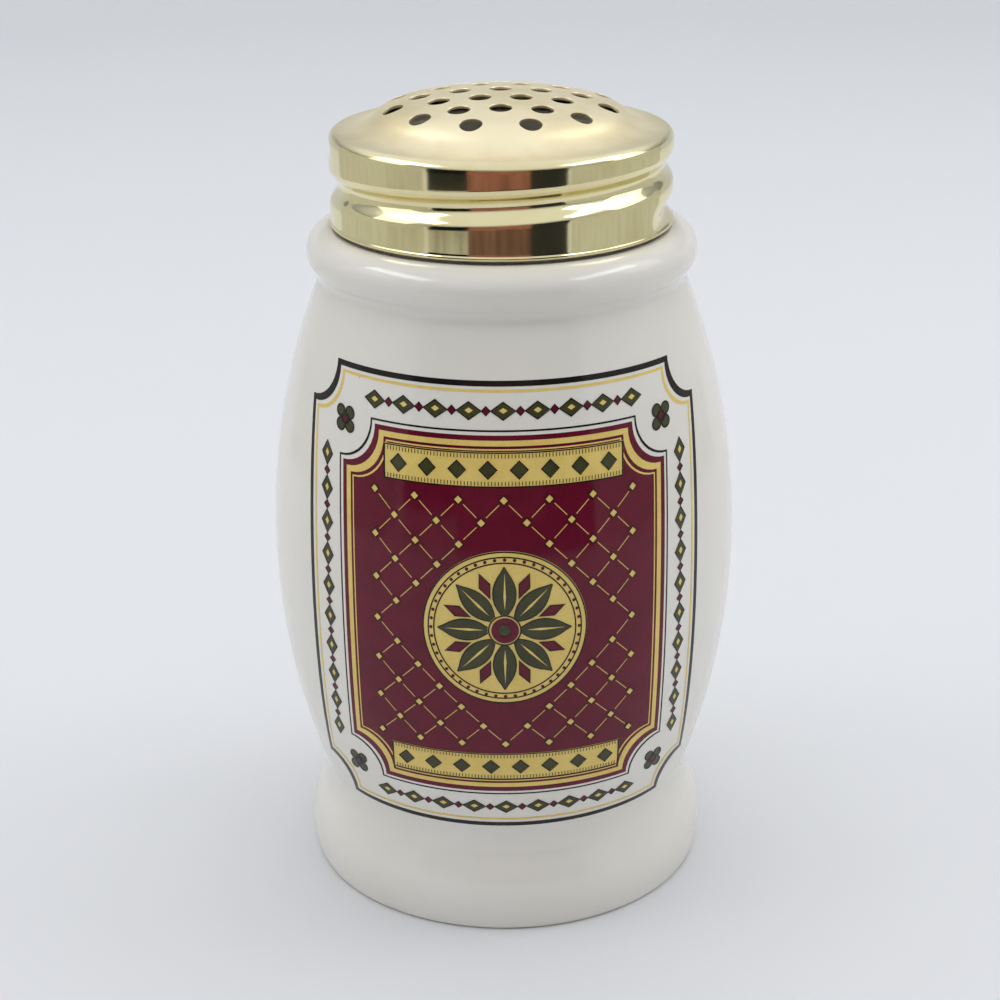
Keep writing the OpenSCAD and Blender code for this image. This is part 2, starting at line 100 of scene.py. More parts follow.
class Section:
    """A section drawn in the XZ plane, stroke by stroke, and then turned about the Z axis."""

    def __init__(self, x, z):
        self.bm = bmesh.new()
        self.end = self.bm.verts.new((x, 0, z))

    def line(self, x, z, step=None):
        start = self.end.co.copy()
        goal = Vector((x, 0, z))
        count = max(1, math.ceil((goal - start).length / step)) if step else 1
        for i in range(count):
            made = bmesh.ops.extrude_vert_indiv(self.bm, verts=[self.end])
            self.end = made["verts"][0]
            self.end.co = start.lerp(goal, (i + 1) / count)

    def arc(self, centre, angle, step=0.7 * mm):
        """Swings round centre to the bearing angle, by the shorter way."""
        start = math.atan2(self.end.co.z - centre.y, self.end.co.x - centre.x)
        swing = math.remainder(angle - start, 2 * math.pi)
        radius = math.hypot(self.end.co.x - centre.x, self.end.co.z - centre.y)
        made = bmesh.ops.spin(
            self.bm, geom=[self.end], cent=(centre.x, 0, centre.y), axis=(0, -1, 0),
            angle=swing, steps=max(4, math.ceil(abs(swing) * radius / step)),
        )
        self.end = made["geom_last"][0]

    def turned(self, steps):
        """The closed skin that the section sweeps in a full turn."""
        bmesh.ops.spin(
            self.bm, geom=self.bm.verts[:] + self.bm.edges[:], cent=(0, 0, 0), axis=(0, 0, 1),
            angle=2 * math.pi, steps=steps, use_merge=True,
        )
        bmesh.ops.remove_doubles(self.bm, verts=self.bm.verts, dist=0.002 * mm)
        bmesh.ops.recalc_face_normals(self.bm, faces=self.bm.faces)
        return self.bm


def piece(bm, name, body, nodes, material, crease=None):
    """A finished mesh becomes an object that rides on its body and stands for its CAD nodes."""
    mesh = bpy.data.meshes.new(name)
    bm.to_mesh(mesh)
    bm.free()
    mesh.shade_smooth()
    if crease:
        mesh.set_sharp_from_angle(angle=math.radians(crease))
    obj = bpy.data.objects.new(name, mesh)
    bpy.context.scene.collection.objects.link(obj)
    mesh.materials.append(material)
    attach(obj, body)
    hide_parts(*nodes)
    return obj


def linear(colour):
    """An sRGB hex colour as linear RGBA."""
    parts = [int(colour[i:i + 2], 16) / 255 for i in (1, 3, 5)]
    return [p / 12.92 if p <= 0.04045 else ((p + 0.055) / 1.055) ** 2.4 for p in parts] + [1]


def add(material, kind, values=(), **settings):
    """Adds a node. A value that is a socket is linked, and any other sets the input."""
    made = material.node_tree.nodes.new(kind)
    for key, value in settings.items():
        setattr(made, key, value)
    for key, value in dict(values).items():
        if isinstance(value, bpy.types.NodeSocket):
            material.node_tree.links.new(value, made.inputs[key])
        else:
            made.inputs[key].default_value = value
    return made


def blank(name):
    """A material with nothing but its output."""
    material = bpy.data.materials.new(name)
    material.use_nodes = True
    material.node_tree.nodes.clear()
    return material


def smooth_step(t):
    t = max(0, min(1, t))
    return t * t * (3 - 2 * t)


def helix_z(angle):
    """Height of the cap's groove at an angle from +X, in degrees."""
    return cap_z + groove_z + pitch * angle / 360


def ridge(angle, z):
    """How far the moulded thread stands out of the neck."""
    first = ridge_mid - 180 * ridge_turns
    last = ridge_mid + 180 * ridge_turns
    most = 0
    for turn in range(-2, 3):
        a = angle + 360 * turn
        off = abs(z - helix_z(a) - pitch / 2) / (ridge_w / 2)
        if off < 1:
            ends = smooth_step((a - first) / ridge_fade) * smooth_step((last - a) / ridge_fade)
            most = max(most, ridge_h * ends * smooth_step((1 - off) * ridge_steepness))
    return most


cap_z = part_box("shaker_cap")[0].z
groove_z = 3.2 * mm

barrel_c = Vector((barrel_r - barrel_arc_r, barrel_mid_z))
foot_c = Vector((foot_r - foot_side_r, foot_mid_z))
waist_c = meet(foot_c, foot_side_r + waist_round, barrel_c, barrel_arc_r + waist_round)
crease_c = meet(barrel_c, barrel_arc_r + crease_round, roll_c, roll_r + crease_round)
toe_c = Vector((
    foot_c.x + math.sqrt((foot_side_r - toe_round) ** 2 - (foot_mid_z - toe_round) ** 2),
    toe_round,
))
recess_r = toe_c.x - foot_ring_w
hollow_arc_r = barrel_arc_r - wall
floor_z = recess_h + floor_t
floor_c = Vector((
    barrel_c.x + math.sqrt((hollow_arc_r - floor_round) ** 2 - (floor_z + floor_round - barrel_mid_z) ** 2),
    floor_z + floor_round,
))
ceiling_z = roll_c.y + roll_r - wall - ceiling_round
ceiling_c = Vector((
    barrel_c.x + math.sqrt((hollow_arc_r - ceiling_round) ** 2 - (ceiling_z - barrel_mid_z) ** 2),
    ceiling_z,
))
neck_fillet_c = Vector((neck_r + neck_fillet, roll_c.y + math.sqrt(
    (roll_r + neck_fillet) ** 2 - (roll_c.x - neck_r - neck_fillet) ** 2)))
mouth_turn = math.acos((mouth_r - ceiling_c.x) / ceiling_round)

jar = Section(0, recess_h)
jar.line(recess_r - recess_round, recess_h, 4 * mm)
jar.arc(Vector((recess_r - recess_round, recess_h - recess_round)), 0, 0.2 * mm)
jar.line(recess_r, foot_ring_edge)
jar.line(recess_r + foot_ring_edge, 0)
jar.line(toe_c.x, 0, 0.6 * mm)
jar.arc(toe_c, bearing(foot_c, toe_c), 0.15 * mm)
jar.arc(foot_c, bearing(foot_c, waist_c))
jar.arc(waist_c, bearing(waist_c, barrel_c))
jar.arc(barrel_c, bearing(barrel_c, crease_c), 1.2 * mm)
jar.arc(crease_c, bearing(crease_c, roll_c), 0.25 * mm)
jar.arc(roll_c, bearing(roll_c, neck_fillet_c), 0.35 * mm)
jar.arc(neck_fillet_c, math.pi, 0.2 * mm)
jar.line(neck_r, lip_z - lip_round, 0.35 * mm)
lip_c = Vector((mouth_r + lip_round, lip_z - lip_round))
jar.arc(lip_c, math.radians(90), 0.3 * mm)
jar.arc(lip_c, math.pi, 0.3 * mm)
jar.line(mouth_r, ceiling_c.y + ceiling_round * math.sin(mouth_turn), 2 * mm)
jar.arc(ceiling_c, bearing(barrel_c, ceiling_c))
jar.arc(barrel_c, bearing(barrel_c, floor_c), 3 * mm)
jar.arc(floor_c, math.radians(-90), 1.5 * mm)
jar.line(0, floor_z, 4 * mm)
jar_mesh = jar.turned(turn_steps)
for v in jar_mesh.verts:
    if v.co.z > roll_c.y + roll_r and math.hypot(v.co.x, v.co.y) > neck_r - 0.01 * mm:
        out = ridge(math.degrees(math.atan2(v.co.y, v.co.x)), v.co.z)
        v.co.xy *= 1 + out / neck_r

# White gloss glaze over earthenware, dipped and fired. The glaze levels to a glassy skin
# with slow waves in it, is a little thin and warm over edges, and holds a few iron specks.
# The foot ring shows the biscuit: pale, matt and slightly gritty.
glaze_white = "#e9e6de"
glaze_thin = "#e2ddd0"
speck_brown = "#8a6f52"
biscuit = "#e4d9c6"
wave_size = 9 * mm
tint_size = 35 * mm
speck_pitch = 11 * mm
speck_rarity = 0.8
grit_size = 0.25 * mm
wiped_h = 0.25 * mm
glazed_h = 0.4 * mm

glaze = blank("White gloss glaze, dipped and fired")
place = add(glaze, "ShaderNodeTexCoord").outputs["Object"]
waves = add(glaze, "ShaderNodeTexNoise", {
    "Vector": place, "Scale": 1 / wave_size, "Detail": 2.0, "Roughness": 0.45})
tint = add(glaze, "ShaderNodeTexNoise", {"Vector": place, "Scale": 1 / tint_size, "Detail": 3.0})
specks = add(glaze, "ShaderNodeTexVoronoi", {"Vector": place, "Scale": 1 / speck_pitch})
speck = add(glaze, "ShaderNodeMapRange", {
    "Value": specks.outputs["Distance"],
    "From Min": 0.012, "From Max": 0.028, "To Min": 0.8, "To Max": 0.0})
rare = add(glaze, "ShaderNodeSeparateColor", {"Color": specks.outputs["Color"]})
chosen = add(glaze, "ShaderNodeMath", {
    0: rare.outputs["Red"], 1: speck_rarity}, operation="GREATER_THAN")
speck_share = add(glaze, "ShaderNodeMath", {
    0: speck.outputs["Result"], 1: chosen.outputs[0]}, operation="MULTIPLY")
tint_share = add(glaze, "ShaderNodeMapRange", {
    "Value": tint.outputs["Fac"], "From Min": 0.35, "From Max": 0.75, "To Min": 0.0, "To Max": 0.5})
warm = add(glaze, "ShaderNodeMix", {
    "Factor": tint_share.outputs["Result"],
    "A": linear(glaze_white), "B": linear(glaze_thin)}, data_type="RGBA")
dotted = add(glaze, "ShaderNodeMix", {
    "Factor": speck_share.outputs[0],
    "A": warm.outputs["Result"], "B": linear(speck_brown)}, data_type="RGBA")
bump = add(glaze, "ShaderNodeBump", {
    "Height": waves.outputs["Fac"], "Strength": 0.25, "Distance": 0.05 * mm})
glassy = add(glaze, "ShaderNodeBsdfPrincipled", {
    "Base Color": dotted.outputs["Result"], "Roughness": 0.04, "IOR": 1.52,
    "Normal": bump.outputs["Normal"]})
grit = add(glaze, "ShaderNodeTexNoise", {"Vector": place, "Scale": 1 / grit_size, "Detail": 4.0})
grit_bump = add(glaze, "ShaderNodeBump", {
    "Height": grit.outputs["Fac"], "Strength": 0.6, "Distance": 0.08 * mm})
bare = add(glaze, "ShaderNodeBsdfPrincipled", {
    "Base Color": linear(biscuit), "Roughness": 0.85, "IOR": 1.5,
    "Normal": grit_bump.outputs["Normal"]})
height = add(glaze, "ShaderNodeSeparateXYZ", {"Vector": place})
wiped = add(glaze, "ShaderNodeMapRange", {
    "Value": height.outputs["Z"],
    "From Min": wiped_h, "From Max": glazed_h, "To Min": 1.0, "To Max": 0.0})
both = add(glaze, "ShaderNodeMixShader", {
    "Fac": wiped.outputs["Result"], 1: glassy.outputs["BSDF"], 2: bare.outputs["BSDF"]})
add(glaze, "ShaderNodeOutputMaterial", {"Surface": both.outputs["Shader"]})

piece(jar_mesh, "glazed_jar", "jar", ["jar_body"], glaze, crease=50)

# Printed front
# A ceramic transfer, fired onto the glaze. Each colour was screened in a pass of its own, so
# it is a film on the glaze or on the colour below it: wine red, olive green, straw yellow and
# a near-black key that outlines them.
print_z = 62 * mm
frame_half_w = 38.5 * mm
frame_half_h = 41.5 * mm
border_w = 8.1 * mm
border_h = 7.6 * mm
corner_scoop = 7 * mm
line_w = 0.9 * mm
device_r = 14 * mm
sowing = 7.5 * mm
film_t = 0.02 * mm
film_gap = 0.015 * mm
cut_u = 1.5 * mm
cut_v = 3 * mm
barrel_low_z = barrel_c.y - barrel_arc_r * (barrel_c.y - waist_c.y) / (barrel_arc_r + waist_round)


def side_r(z, out=0):
    """Radius of the jar's side at the height z, out from the glaze."""
    if z < barrel_low_z:
        return waist_c.x - math.sqrt((waist_round - out) ** 2 - (z - waist_c.y) ** 2)
    return barrel_c.x + math.sqrt((barrel_arc_r + out) ** 2 - (z - barrel_c.y) ** 2)


def wrapped(u, v, out):
    """The place u along the barrel's curve and v up from the print's middle, and its normal."""
    z = print_z + v
    turn = u / side_r(z)
    r = side_r(z, out)
    round_c = waist_c if z < barrel_low_z else barrel_c
    lean = Vector((r - round_c.x, z - round_c.y)).normalized()
    if round_c is waist_c:
        lean.negate()
    there = Vector((r * math.sin(turn), -r * math.cos(turn), z))
    return there, Vector((lean.x * math.sin(turn), -lean.x * math.cos(turn), lean.y))


def scooped(w, h, steps=10):
    """The outline of a panel with scooped corners."""
    turns = [math.radians(90 * i / steps) for i in range(steps + 1)]
    scoop = [(w - corner_scoop * math.cos(a), h - corner_scoop * math.sin(a)) for a in turns]
    back = scoop[::-1]
    right = scoop + [(x, -y) for x, y in back]
    return right + [(-x, -y) for x, y in scoop] + [(-x, y) for x, y in back]


def round_outline(r, at=(0, 0), steps=72):
    turns = [2 * math.pi * i / steps for i in range(steps)]
    return [(at[0] + r * math.cos(a), at[1] + r * math.sin(a)) for a in turns]


def lozenge(at, w, h):
    u, v = at
    return [(u - w / 2, v), (u, v - h / 2), (u + w / 2, v), (u, v + h / 2)]


def grown(points, by):
    """A small outline moved outwards from its own middle."""
    mid = Vector((sum(q[0] for q in points), sum(q[1] for q in points))) / len(points)
    return [mid + (Vector(q) - mid) * (1 + by / (Vector(q) - mid).length) for q in points]


def stroke(start, end, w):
    """A straight line of ink."""
    start, end = Vector(start), Vector(end)
    side = (end - start).orthogonal().normalized() * w / 2
    return [start + side, start - side, end - side, end + side]


class Film:
    """One screened colour: flat outlines, cut small enough to bend, and laid on the jar."""

    def __init__(self, shift=(0, 0)):
        self.bm = bmesh.new()
        self.level = self.bm.verts.layers.float.new("level")
        self.shift = Vector(shift)

    def outline(self, points, level):
        verts = [self.bm.verts.new((*(Vector(q) + self.shift), 0)) for q in points]
        for v in verts:
            v[self.level] = level
        return [self.bm.edges.new((verts[i - 1], verts[i])) for i in range(len(verts))]

    def fill(self, points, level=0):
        made = bmesh.ops.edgeloop_fill(self.bm, edges=self.outline(points, level))
        bmesh.ops.triangulate(self.bm, faces=made["faces"])

    def band(self, outer, inner, level=0):
        """The strip between two outlines that have as many points."""
        bmesh.ops.bridge_loops(self.bm, edges=self.outline(outer, level) + self.outline(inner, level))

    def laid(self, name, node, material):
        bm = self.bm
        across, up = Vector((1, 0, 0)), Vector((0, 1, 0))
        for reach, step, axis in ((frame_half_w, cut_u, across), (frame_half_h, cut_v, up)):
            count = math.ceil(reach / step)
            for i in range(-count, count + 1):
                bmesh.ops.bisect_plane(
                    bm, geom=bm.verts[:] + bm.edges[:] + bm.faces[:], dist=0.001 * mm,
                    plane_co=axis * i * step, plane_no=axis,
                )
        for f in bm.faces:
            f.normal_update()
            if f.normal.z < 0:
                f.normal_flip()
        under = bm.faces[:]
        top = bmesh.ops.extrude_face_region(bm, geom=under, use_keep_orig=True)
        bmesh.ops.reverse_faces(bm, faces=under)
        raised = [v for v in top["geom"] if isinstance(v, bmesh.types.BMVert)]
        bmesh.ops.translate(bm, verts=raised, vec=(0, 0, film_t))
        normals = []
        for v in bm.verts:
            out = film_gap + v[self.level] * (film_t + film_gap) + v.co.z
            v.co, normal = wrapped(v.co.x, v.co.y, out)
            normals.append(normal)
        obj = piece(bm, name, "jar", [node], material)
        obj.data.normals_split_custom_set_from_vertices(normals)


def span(a, b, step):
    count = math.ceil(abs(b - a) / step)
    return [a + (b - a) * i / count for i in range(count + 1)]


def between(places):
    return [(a + b) / 2 for a, b in zip(places, places[1:])]


# The four passes lie a few hundredths of a millimetre off each other, as on any such transfer
wine = Film((0.05 * mm, -0.04 * mm))
green = Film((-0.07 * mm, 0.03 * mm))
straw = Film((0.03 * mm, 0.06 * mm))
key = Film()

# The frame: a dark line with a straw one inside it, and a chain of lozenges in the border
field_half_w = frame_half_w - line_w - border_w
field_half_h = frame_half_h - line_w - border_h
border_u = field_half_w + border_w / 2
border_v = field_half_h + border_h / 2
link_w, link_h = border_w / 3, border_w / 2
key_w = 0.16 * mm
hair_w = 0.13 * mm
leaf_r, leaf_out, bud_r = 0.95 * mm, 1.5 * mm, 0.8 * mm
chain_rows = span(corner_scoop - field_half_h, field_half_h - corner_scoop, 1.5 * link_h)
chain_columns = span(corner_scoop - field_half_w, field_half_w - corner_scoop, 1.5 * link_h)


def frame_line(film, w, h, width, level=0):
    film.band(scooped(w, h), scooped(w - width, h - width), level)


def inked(film, shape, level=0):
    """A small shape in a colour, with a dark line round it."""
    film.fill(shape, level)
    key.band(grown(shape, key_w), grown(shape, -key_w / 2), level + 1)


frame_line(key, frame_half_w, frame_half_h, line_w)
frame_line(straw, frame_half_w - 1.6 * line_w, frame_half_h - 1.6 * line_w, line_w / 2)
frame_line(key, field_half_w + 0.9 * line_w, field_half_h + 0.9 * line_w, line_w / 3)
for s in (-1, 1):
    links = [((s * border_u, v), link_w, link_h) for v in chain_rows]
    links += [((u, s * border_v), link_h, link_w) for u in chain_columns]
    for at, w, h in links:
        inked(green, lozenge(at, w, h))
        straw.fill(lozenge(at, w / 3, h / 3), level=1)
    small = [(s * border_u, v) for v in between(chain_rows)]
    small += [(u, s * border_v) for u in between(chain_columns)]
    for at in small:
        inked(wine, lozenge(at, link_w / 2, link_w / 2))
    for t in (-1, 1):
        at = Vector((s * (field_half_w - line_w / 2), t * (field_half_h - line_w / 2)))
        for i in range(4):
            a = math.radians(45 + 90 * i)
            leaf = at + Vector((math.cos(a), math.sin(a))) * leaf_out
            inked(green, round_outline(leaf_r, leaf, 16))
        inked(wine, round_outline(bud_r, at, 16), level=1)

# The wine-red field: two straw lines round it, a bar at its head and foot, and small
# lozenges sown over it on a fine trellis
wine.fill(scooped(field_half_w, field_half_h))
frame_line(straw, field_half_w - line_w, field_half_h - line_w, line_w, level=1)
frame_line(straw, field_half_w - 2.5 * line_w, field_half_h - 2.5 * line_w, line_w / 4, level=1)
bar_half_w = field_half_w - corner_scoop - 2 * line_w
bar_h = border_w * 0.7
bar_v = field_half_h - 3 * line_w - bar_h / 2
tick_start, tick_end = 0.3 * mm, 0.95 * mm
for s in (-1, 1):
    low, high = s * bar_v - bar_h / 2, s * bar_v + bar_h / 2
    bar = [(-bar_half_w, low), (bar_half_w, low), (bar_half_w, high), (-bar_half_w, high)]
    straw.fill(bar, level=1)
    key.band(bar, [(u * 0.985, s * bar_v + (v - s * bar_v) * 0.93) for u, v in bar], level=2)
    for u in span(bar_h / 2 - bar_half_w, bar_half_w - bar_h / 2, bar_h):
        inked(green, lozenge((u, s * bar_v), bar_h / 2, bar_h / 2), level=2)
    for u in between(span(-bar_half_w, bar_half_w, bar_h / 10)):
        for edge, way in ((low, 1), (high, -1)):
            tick = stroke((u, edge + way * tick_start), (u, edge + way * tick_end), hair_w)
            key.fill(tick, level=2)

sown_w = sowing / 5
sown = {
    (i, j): sowing * Vector((i + (0 if j % 2 == 0 else 0.5), j / 2))
    for i in range(-5, 6) for j in range(-9, 10)
}
sown = {
    k: q for k, q in sown.items()
    if abs(q.x) < field_half_w - 3 * line_w - sown_w and abs(q.y) < bar_v - bar_h / 2 - sown_w
    and q.length > device_r + sown_w
}
for (i, j), q in sown.items():
    inked(straw, lozenge(q, sown_w, sown_w), level=1)
    for step in (0, 1):
        other = sown.get((i + step - (1 if j % 2 == 0 else 0), j + 1))
        if other:
            way = (other - q).normalized() * sown_w * 0.75
            straw.fill(stroke(q + way, other - way, hair_w), level=1)

# The device in the middle: eight petals on a straw round, in a beaded ring
petal_count = 8
petal_root, petal_tip = device_r / 5, device_r - 3 * line_w
petal_half_w = device_r / 7
petal_shares = (0.3, 0.62, 0.85, 0.97, 1, 0.95, 0.82, 0.6, 0.3, 0.05)
vein_mid, vein_half_w = 6 * mm, 0.22 * mm
dart_root, dart_mid, dart_tip, dart_half_w = 6.2 * mm, 8.6 * mm, 10.9 * mm, 0.9 * mm
bead_count = 48
bead_r = 0.3 * mm
heart_edge, heart_gap = 0.5 * mm, 0.2 * mm


def leaf_outline(rows, turn):
    """Out along one side of a leaf and back along the other, turned about the device's middle."""
    out = [turn @ Vector((r, -w)) for r, w in rows]
    return out + [turn @ Vector((r, w)) for r, w in reversed(rows)]


straw.band(round_outline(device_r), round_outline(petal_root / 2), level=1)
for r in (device_r, device_r - line_w, device_r - 2.1 * line_w):
    key.band(round_outline(r), round_outline(r - 1.5 * key_w), level=2)
for i in range(bead_count):
    a = math.radians(360 * i / bead_count)
    bead = Vector((math.cos(a), math.sin(a))) * (device_r - 1.6 * line_w)
    wine.fill(round_outline(bead_r, bead, 12), level=2)
for i in range(petal_count):
    turn = Matrix.Rotation(math.radians(360 * i / petal_count), 2)
    rows = [
        (petal_root + (petal_tip - petal_root) * k / (len(petal_shares) - 1), petal_half_w * w)
        for k, w in enumerate(petal_shares)
    ]
    petal = leaf_outline(rows, turn)
    green.fill(petal, level=2)
    slim = [(r, max(w - key_w, key_w / 5)) for r, w in rows]
    key.band(petal, leaf_outline(slim, turn), level=3)
    vein = ((1.3 * petal_root, 0), (vein_mid, -vein_half_w), (0.9 * petal_tip, 0), (vein_mid, vein_half_w))
    straw.fill([turn @ Vector(q) for q in vein], level=3)
    half = Matrix.Rotation(math.radians(360 * (i + 0.5) / petal_count), 2)
    dart = ((dart_root, 0), (dart_mid, -dart_half_w), (dart_tip, 0), (dart_mid, dart_half_w))
    inked(wine, [half @ Vector(q) for q in dart], level=2)
key.band(round_outline(petal_root), round_outline(petal_root - 1.5 * key_w), level=3)
wine.band(round_outline(petal_root - heart_edge), round_outline(petal_root / 2 - heart_gap), level=3)
green.fill(round_outline(petal_root / 2 - 2 * heart_gap), level=3)

# The inks
density_size = 4 * mm
mesh_pitch = 0.25 * mm


def fired_ink(name, colour, deep):
    """Screened ceramic colour under its own flux: a glossy film, a little uneven in density."""
    ink = blank(name)
    at = add(ink, "ShaderNodeTexCoord").outputs["Object"]
    cloud = add(ink, "ShaderNodeTexNoise", {"Vector": at, "Scale": 1 / density_size, "Detail": 3.0})
    mesh_marks = add(ink, "ShaderNodeTexNoise", {"Vector": at, "Scale": 1 / mesh_pitch, "Detail": 2.0})
    amount = add(ink, "ShaderNodeMath", {
        0: cloud.outputs["Fac"], 1: mesh_marks.outputs["Fac"]}, operation="MULTIPLY")
    share = add(ink, "ShaderNodeMapRange", {
        "Value": amount.outputs[0], "From Min": 0.12, "From Max": 0.42})
    tone = add(ink, "ShaderNodeMix", {
        "Factor": share.outputs["Result"], "A": linear(colour), "B": linear(deep)}, data_type="RGBA")
    ripple = add(ink, "ShaderNodeBump", {
        "Height": cloud.outputs["Fac"], "Strength": 0.2, "Distance": 0.02 * mm})
    skin = add(ink, "ShaderNodeBsdfPrincipled", {
        "Base Color": tone.outputs["Result"], "Roughness": 0.1, "IOR": 1.36,
        "Normal": ripple.outputs["Normal"]})
    add(ink, "ShaderNodeOutputMaterial", {"Surface": skin.outputs["BSDF"]})
    return ink


wine_ink = fired_ink("Wine-red ceramic colour, screened", "#6b162d", "#5b1025")
wine.laid("wine_film", "print_wine", wine_ink)
green_ink = fired_ink("Olive ceramic colour, screened", "#4a4a30", "#3a3c26")
green.laid("green_film", "print_green", green_ink)
straw_ink = fired_ink("Straw ceramic colour, screened", "#ead07a", "#dec069")
straw.laid("straw_film", "print_straw", straw_ink)
key_ink = fired_ink("Black ceramic colour, screened", "#231f1d", "#1b1816")
key.laid("key_film", "print_dark", key_ink)

# Seal ring
# A loose ring of sealing compound, cast to fit between the cap's brim and the jar's lip. It
# is a wedge in section, softly edged, matt, and the colour of unbleached paste.
cap_r = 29.75 * mm
shoulder_round = 1.7 * mm
shoulder_h = 14.4 * mm
brim_slope = math.radians(6)
sheet_t = 0.45 * mm
seal_gap = 0.3 * mm
seal_w = 3.6 * mm
seal_edge = 0.25 * mm
seal_steps = 192
mottle_size = 1.5 * mm
shoulder_c = Vector((cap_r - shoulder_round, cap_z + shoulder_h))


def brim_z(x, away):
    """Height of a line along the brim, at a distance from the middle of the shoulder."""
    return shoulder_c.y + away / math.cos(brim_slope) + (shoulder_c.x - x) * math.tan(brim_slope)


seal_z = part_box("seal_ring")[0].z
seal_out_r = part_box("seal_ring")[1].x
seal_in_r = seal_out_r - seal_w
seal_fit = shoulder_round - sheet_t - seal_gap
out_foot = Vector((seal_out_r - seal_edge, seal_z + seal_edge))
in_foot = Vector((seal_in_r + seal_edge, seal_z + seal_edge))
out_head = Vector((seal_out_r - seal_edge, brim_z(seal_out_r - seal_edge, seal_fit - seal_edge)))
in_head = Vector((seal_in_r + seal_edge, brim_z(seal_in_r + seal_edge, seal_fit - seal_edge)))
seal = Section(in_foot.x, seal_z)
seal.line(out_foot.x, seal_z, 0.5 * mm)
seal.arc(out_foot, 0, 0.1 * mm)
seal.line(seal_out_r, out_head.y)
seal.arc(out_head, math.radians(90) - brim_slope, 0.1 * mm)
seal.line(in_head.x, brim_z(in_head.x, seal_fit), 0.5 * mm)
seal.arc(in_head, math.pi, 0.1 * mm)
seal.line(seal_in_r, in_foot.y)
seal.arc(in_foot, math.radians(-90), 0.1 * mm)
seal_mesh = seal.turned(seal_steps)

compound = blank("Sealing compound, cast")
place = add(compound, "ShaderNodeTexCoord").outputs["Object"]
mottle = add(compound, "ShaderNodeTexNoise", {
    "Vector": place, "Scale": 1 / mottle_size, "Detail": 4.0})
paste = add(compound, "ShaderNodeMix", {
    "Factor": mottle.outputs["Fac"], "A": linear("#cdc8bb"), "B": linear("#bdb7a8")}, data_type="RGBA")
pores = add(compound, "ShaderNodeBump", {
    "Height": mottle.outputs["Fac"], "Strength": 0.3, "Distance": 0.05 * mm})
cast = add(compound, "ShaderNodeBsdfPrincipled", {
    "Base Color": paste.outputs["Result"], "Roughness": 0.62, "IOR": 1.45,
    "Normal": pores.outputs["Normal"]})
add(compound, "ShaderNodeOutputMaterial", {"Surface": cast.outputs["BSDF"]})
piece(seal_mesh, "sealing_ring", "seal", ["seal_ring"], compound, crease=40)

# Screw cap
# Tinplate 0.45 mm thick, drawn to a crown with a flat brim and a skirt, pierced, rolled with a
# right-handed thread groove and curled over at the hem. Its gold colour is a lacquer.
dome_r = 75 * mm
bend_r = 7.8 * mm
hollow_r = 7.8 * mm
brim_r = 26.25 * mm
hem_h = 0.9 * mm
hem_out = 0.2 * mm
hem_inner_h = 0.35 * mm
hem_edge_w, hem_edge_h = 0.05 * mm, 0.08 * mm
hem_flat_in = 0.2 * mm
hem_seam_h = 0.1 * mm
groove_depth = 1.5 * mm
groove_w = 6.2 * mm
groove_reach = 1.09 * mm
groove_start, groove_end, groove_fade = -10, 532, 25
hole_d = 3.8 * mm
hole_pitch = 6.95 * mm
ring_r = 18.9 * mm
ring_holes = 12
punch_round = 0.14 * mm

cap_in_r = cap_r - sheet_t
dome_c = Vector((0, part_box("shaker_cap")[1].z - dome_r))
brim_turn = math.radians(90) - brim_slope
hollow_c = Vector((brim_r, brim_z(brim_r, shoulder_round)))
hollow_c += hollow_r * Vector((math.sin(brim_slope), math.cos(brim_slope)))

# The bend touches the crown from inside and the hollow from outside
bend_c = meet(dome_c, dome_r - bend_r, hollow_c, bend_r + hollow_r, pick=min)
steepest = bearing(bend_c, hollow_c)
crown_turn = bearing(dome_c, bend_c)
crown_edge = dome_c.x + dome_r * math.cos(crown_turn)


def crown(x):
    """Height and slope of the crown and its bend at the distance x from the axis."""
    middle, r = (dome_c, dome_r) if x < crown_edge else (bend_c, bend_r)
    return middle.y + math.sqrt(r * r - (x - middle.x) ** 2), math.asin((x - middle.x) / r)


def groove(angle, z):
    """Depth of the rolled thread groove."""
    most = 0
    for turn in range(3):
        a = angle + 360 * turn
        off = 2 * abs(z - helix_z(a)) / groove_w
        if off < 1:
            ends = smooth_step((a - groove_start) / groove_fade + 1)
            ends *= smooth_step((groove_end - a) / groove_fade + 1)
            most = max(most, groove_depth * (1 + math.cos(math.pi * off)) / 2 * ends)
    return most


cap = Section(0, dome_c.y + dome_r - sheet_t)
cap.arc(dome_c, crown_turn, 1.8 * mm)
cap.arc(bend_c, steepest, 0.8 * mm)
cap.arc(hollow_c, brim_turn - math.pi, 0.8 * mm)
cap.line(shoulder_c.x + (shoulder_round - sheet_t) * math.cos(brim_turn),
         shoulder_c.y + (shoulder_round - sheet_t) * math.sin(brim_turn))
cap.arc(shoulder_c, 0, 0.3 * mm)
cap.line(cap_in_r, cap_z + hem_inner_h, 0.3 * mm)
cap.line(cap_in_r + hem_edge_w, cap_z + hem_edge_h)
cap.line(cap_in_r + hem_flat_in, cap_z)
hem_c = Vector((cap_r + hem_out - hem_h / 2, cap_z + hem_h / 2))
cap.line(hem_c.x, cap_z)
cap.arc(hem_c, math.radians(50), 0.12 * mm)
cap.line(cap_r, cap_z + hem_h + hem_seam_h)
cap.line(cap_r, shoulder_c.y, 0.22 * mm)
cap.arc(shoulder_c, brim_turn, 0.2 * mm)
cap.line(brim_r, brim_z(brim_r, shoulder_round), 0.5 * mm)
cap.arc(hollow_c, steepest - math.pi, 0.4 * mm)
cap.arc(bend_c, crown_turn, 0.4 * mm)
cap.arc(dome_c, math.radians(90), 0.9 * mm)
cap_mesh = cap.turned(turn_steps)
groove_top = shoulder_c.y + groove_reach
hem_clear = 0.5 * mm
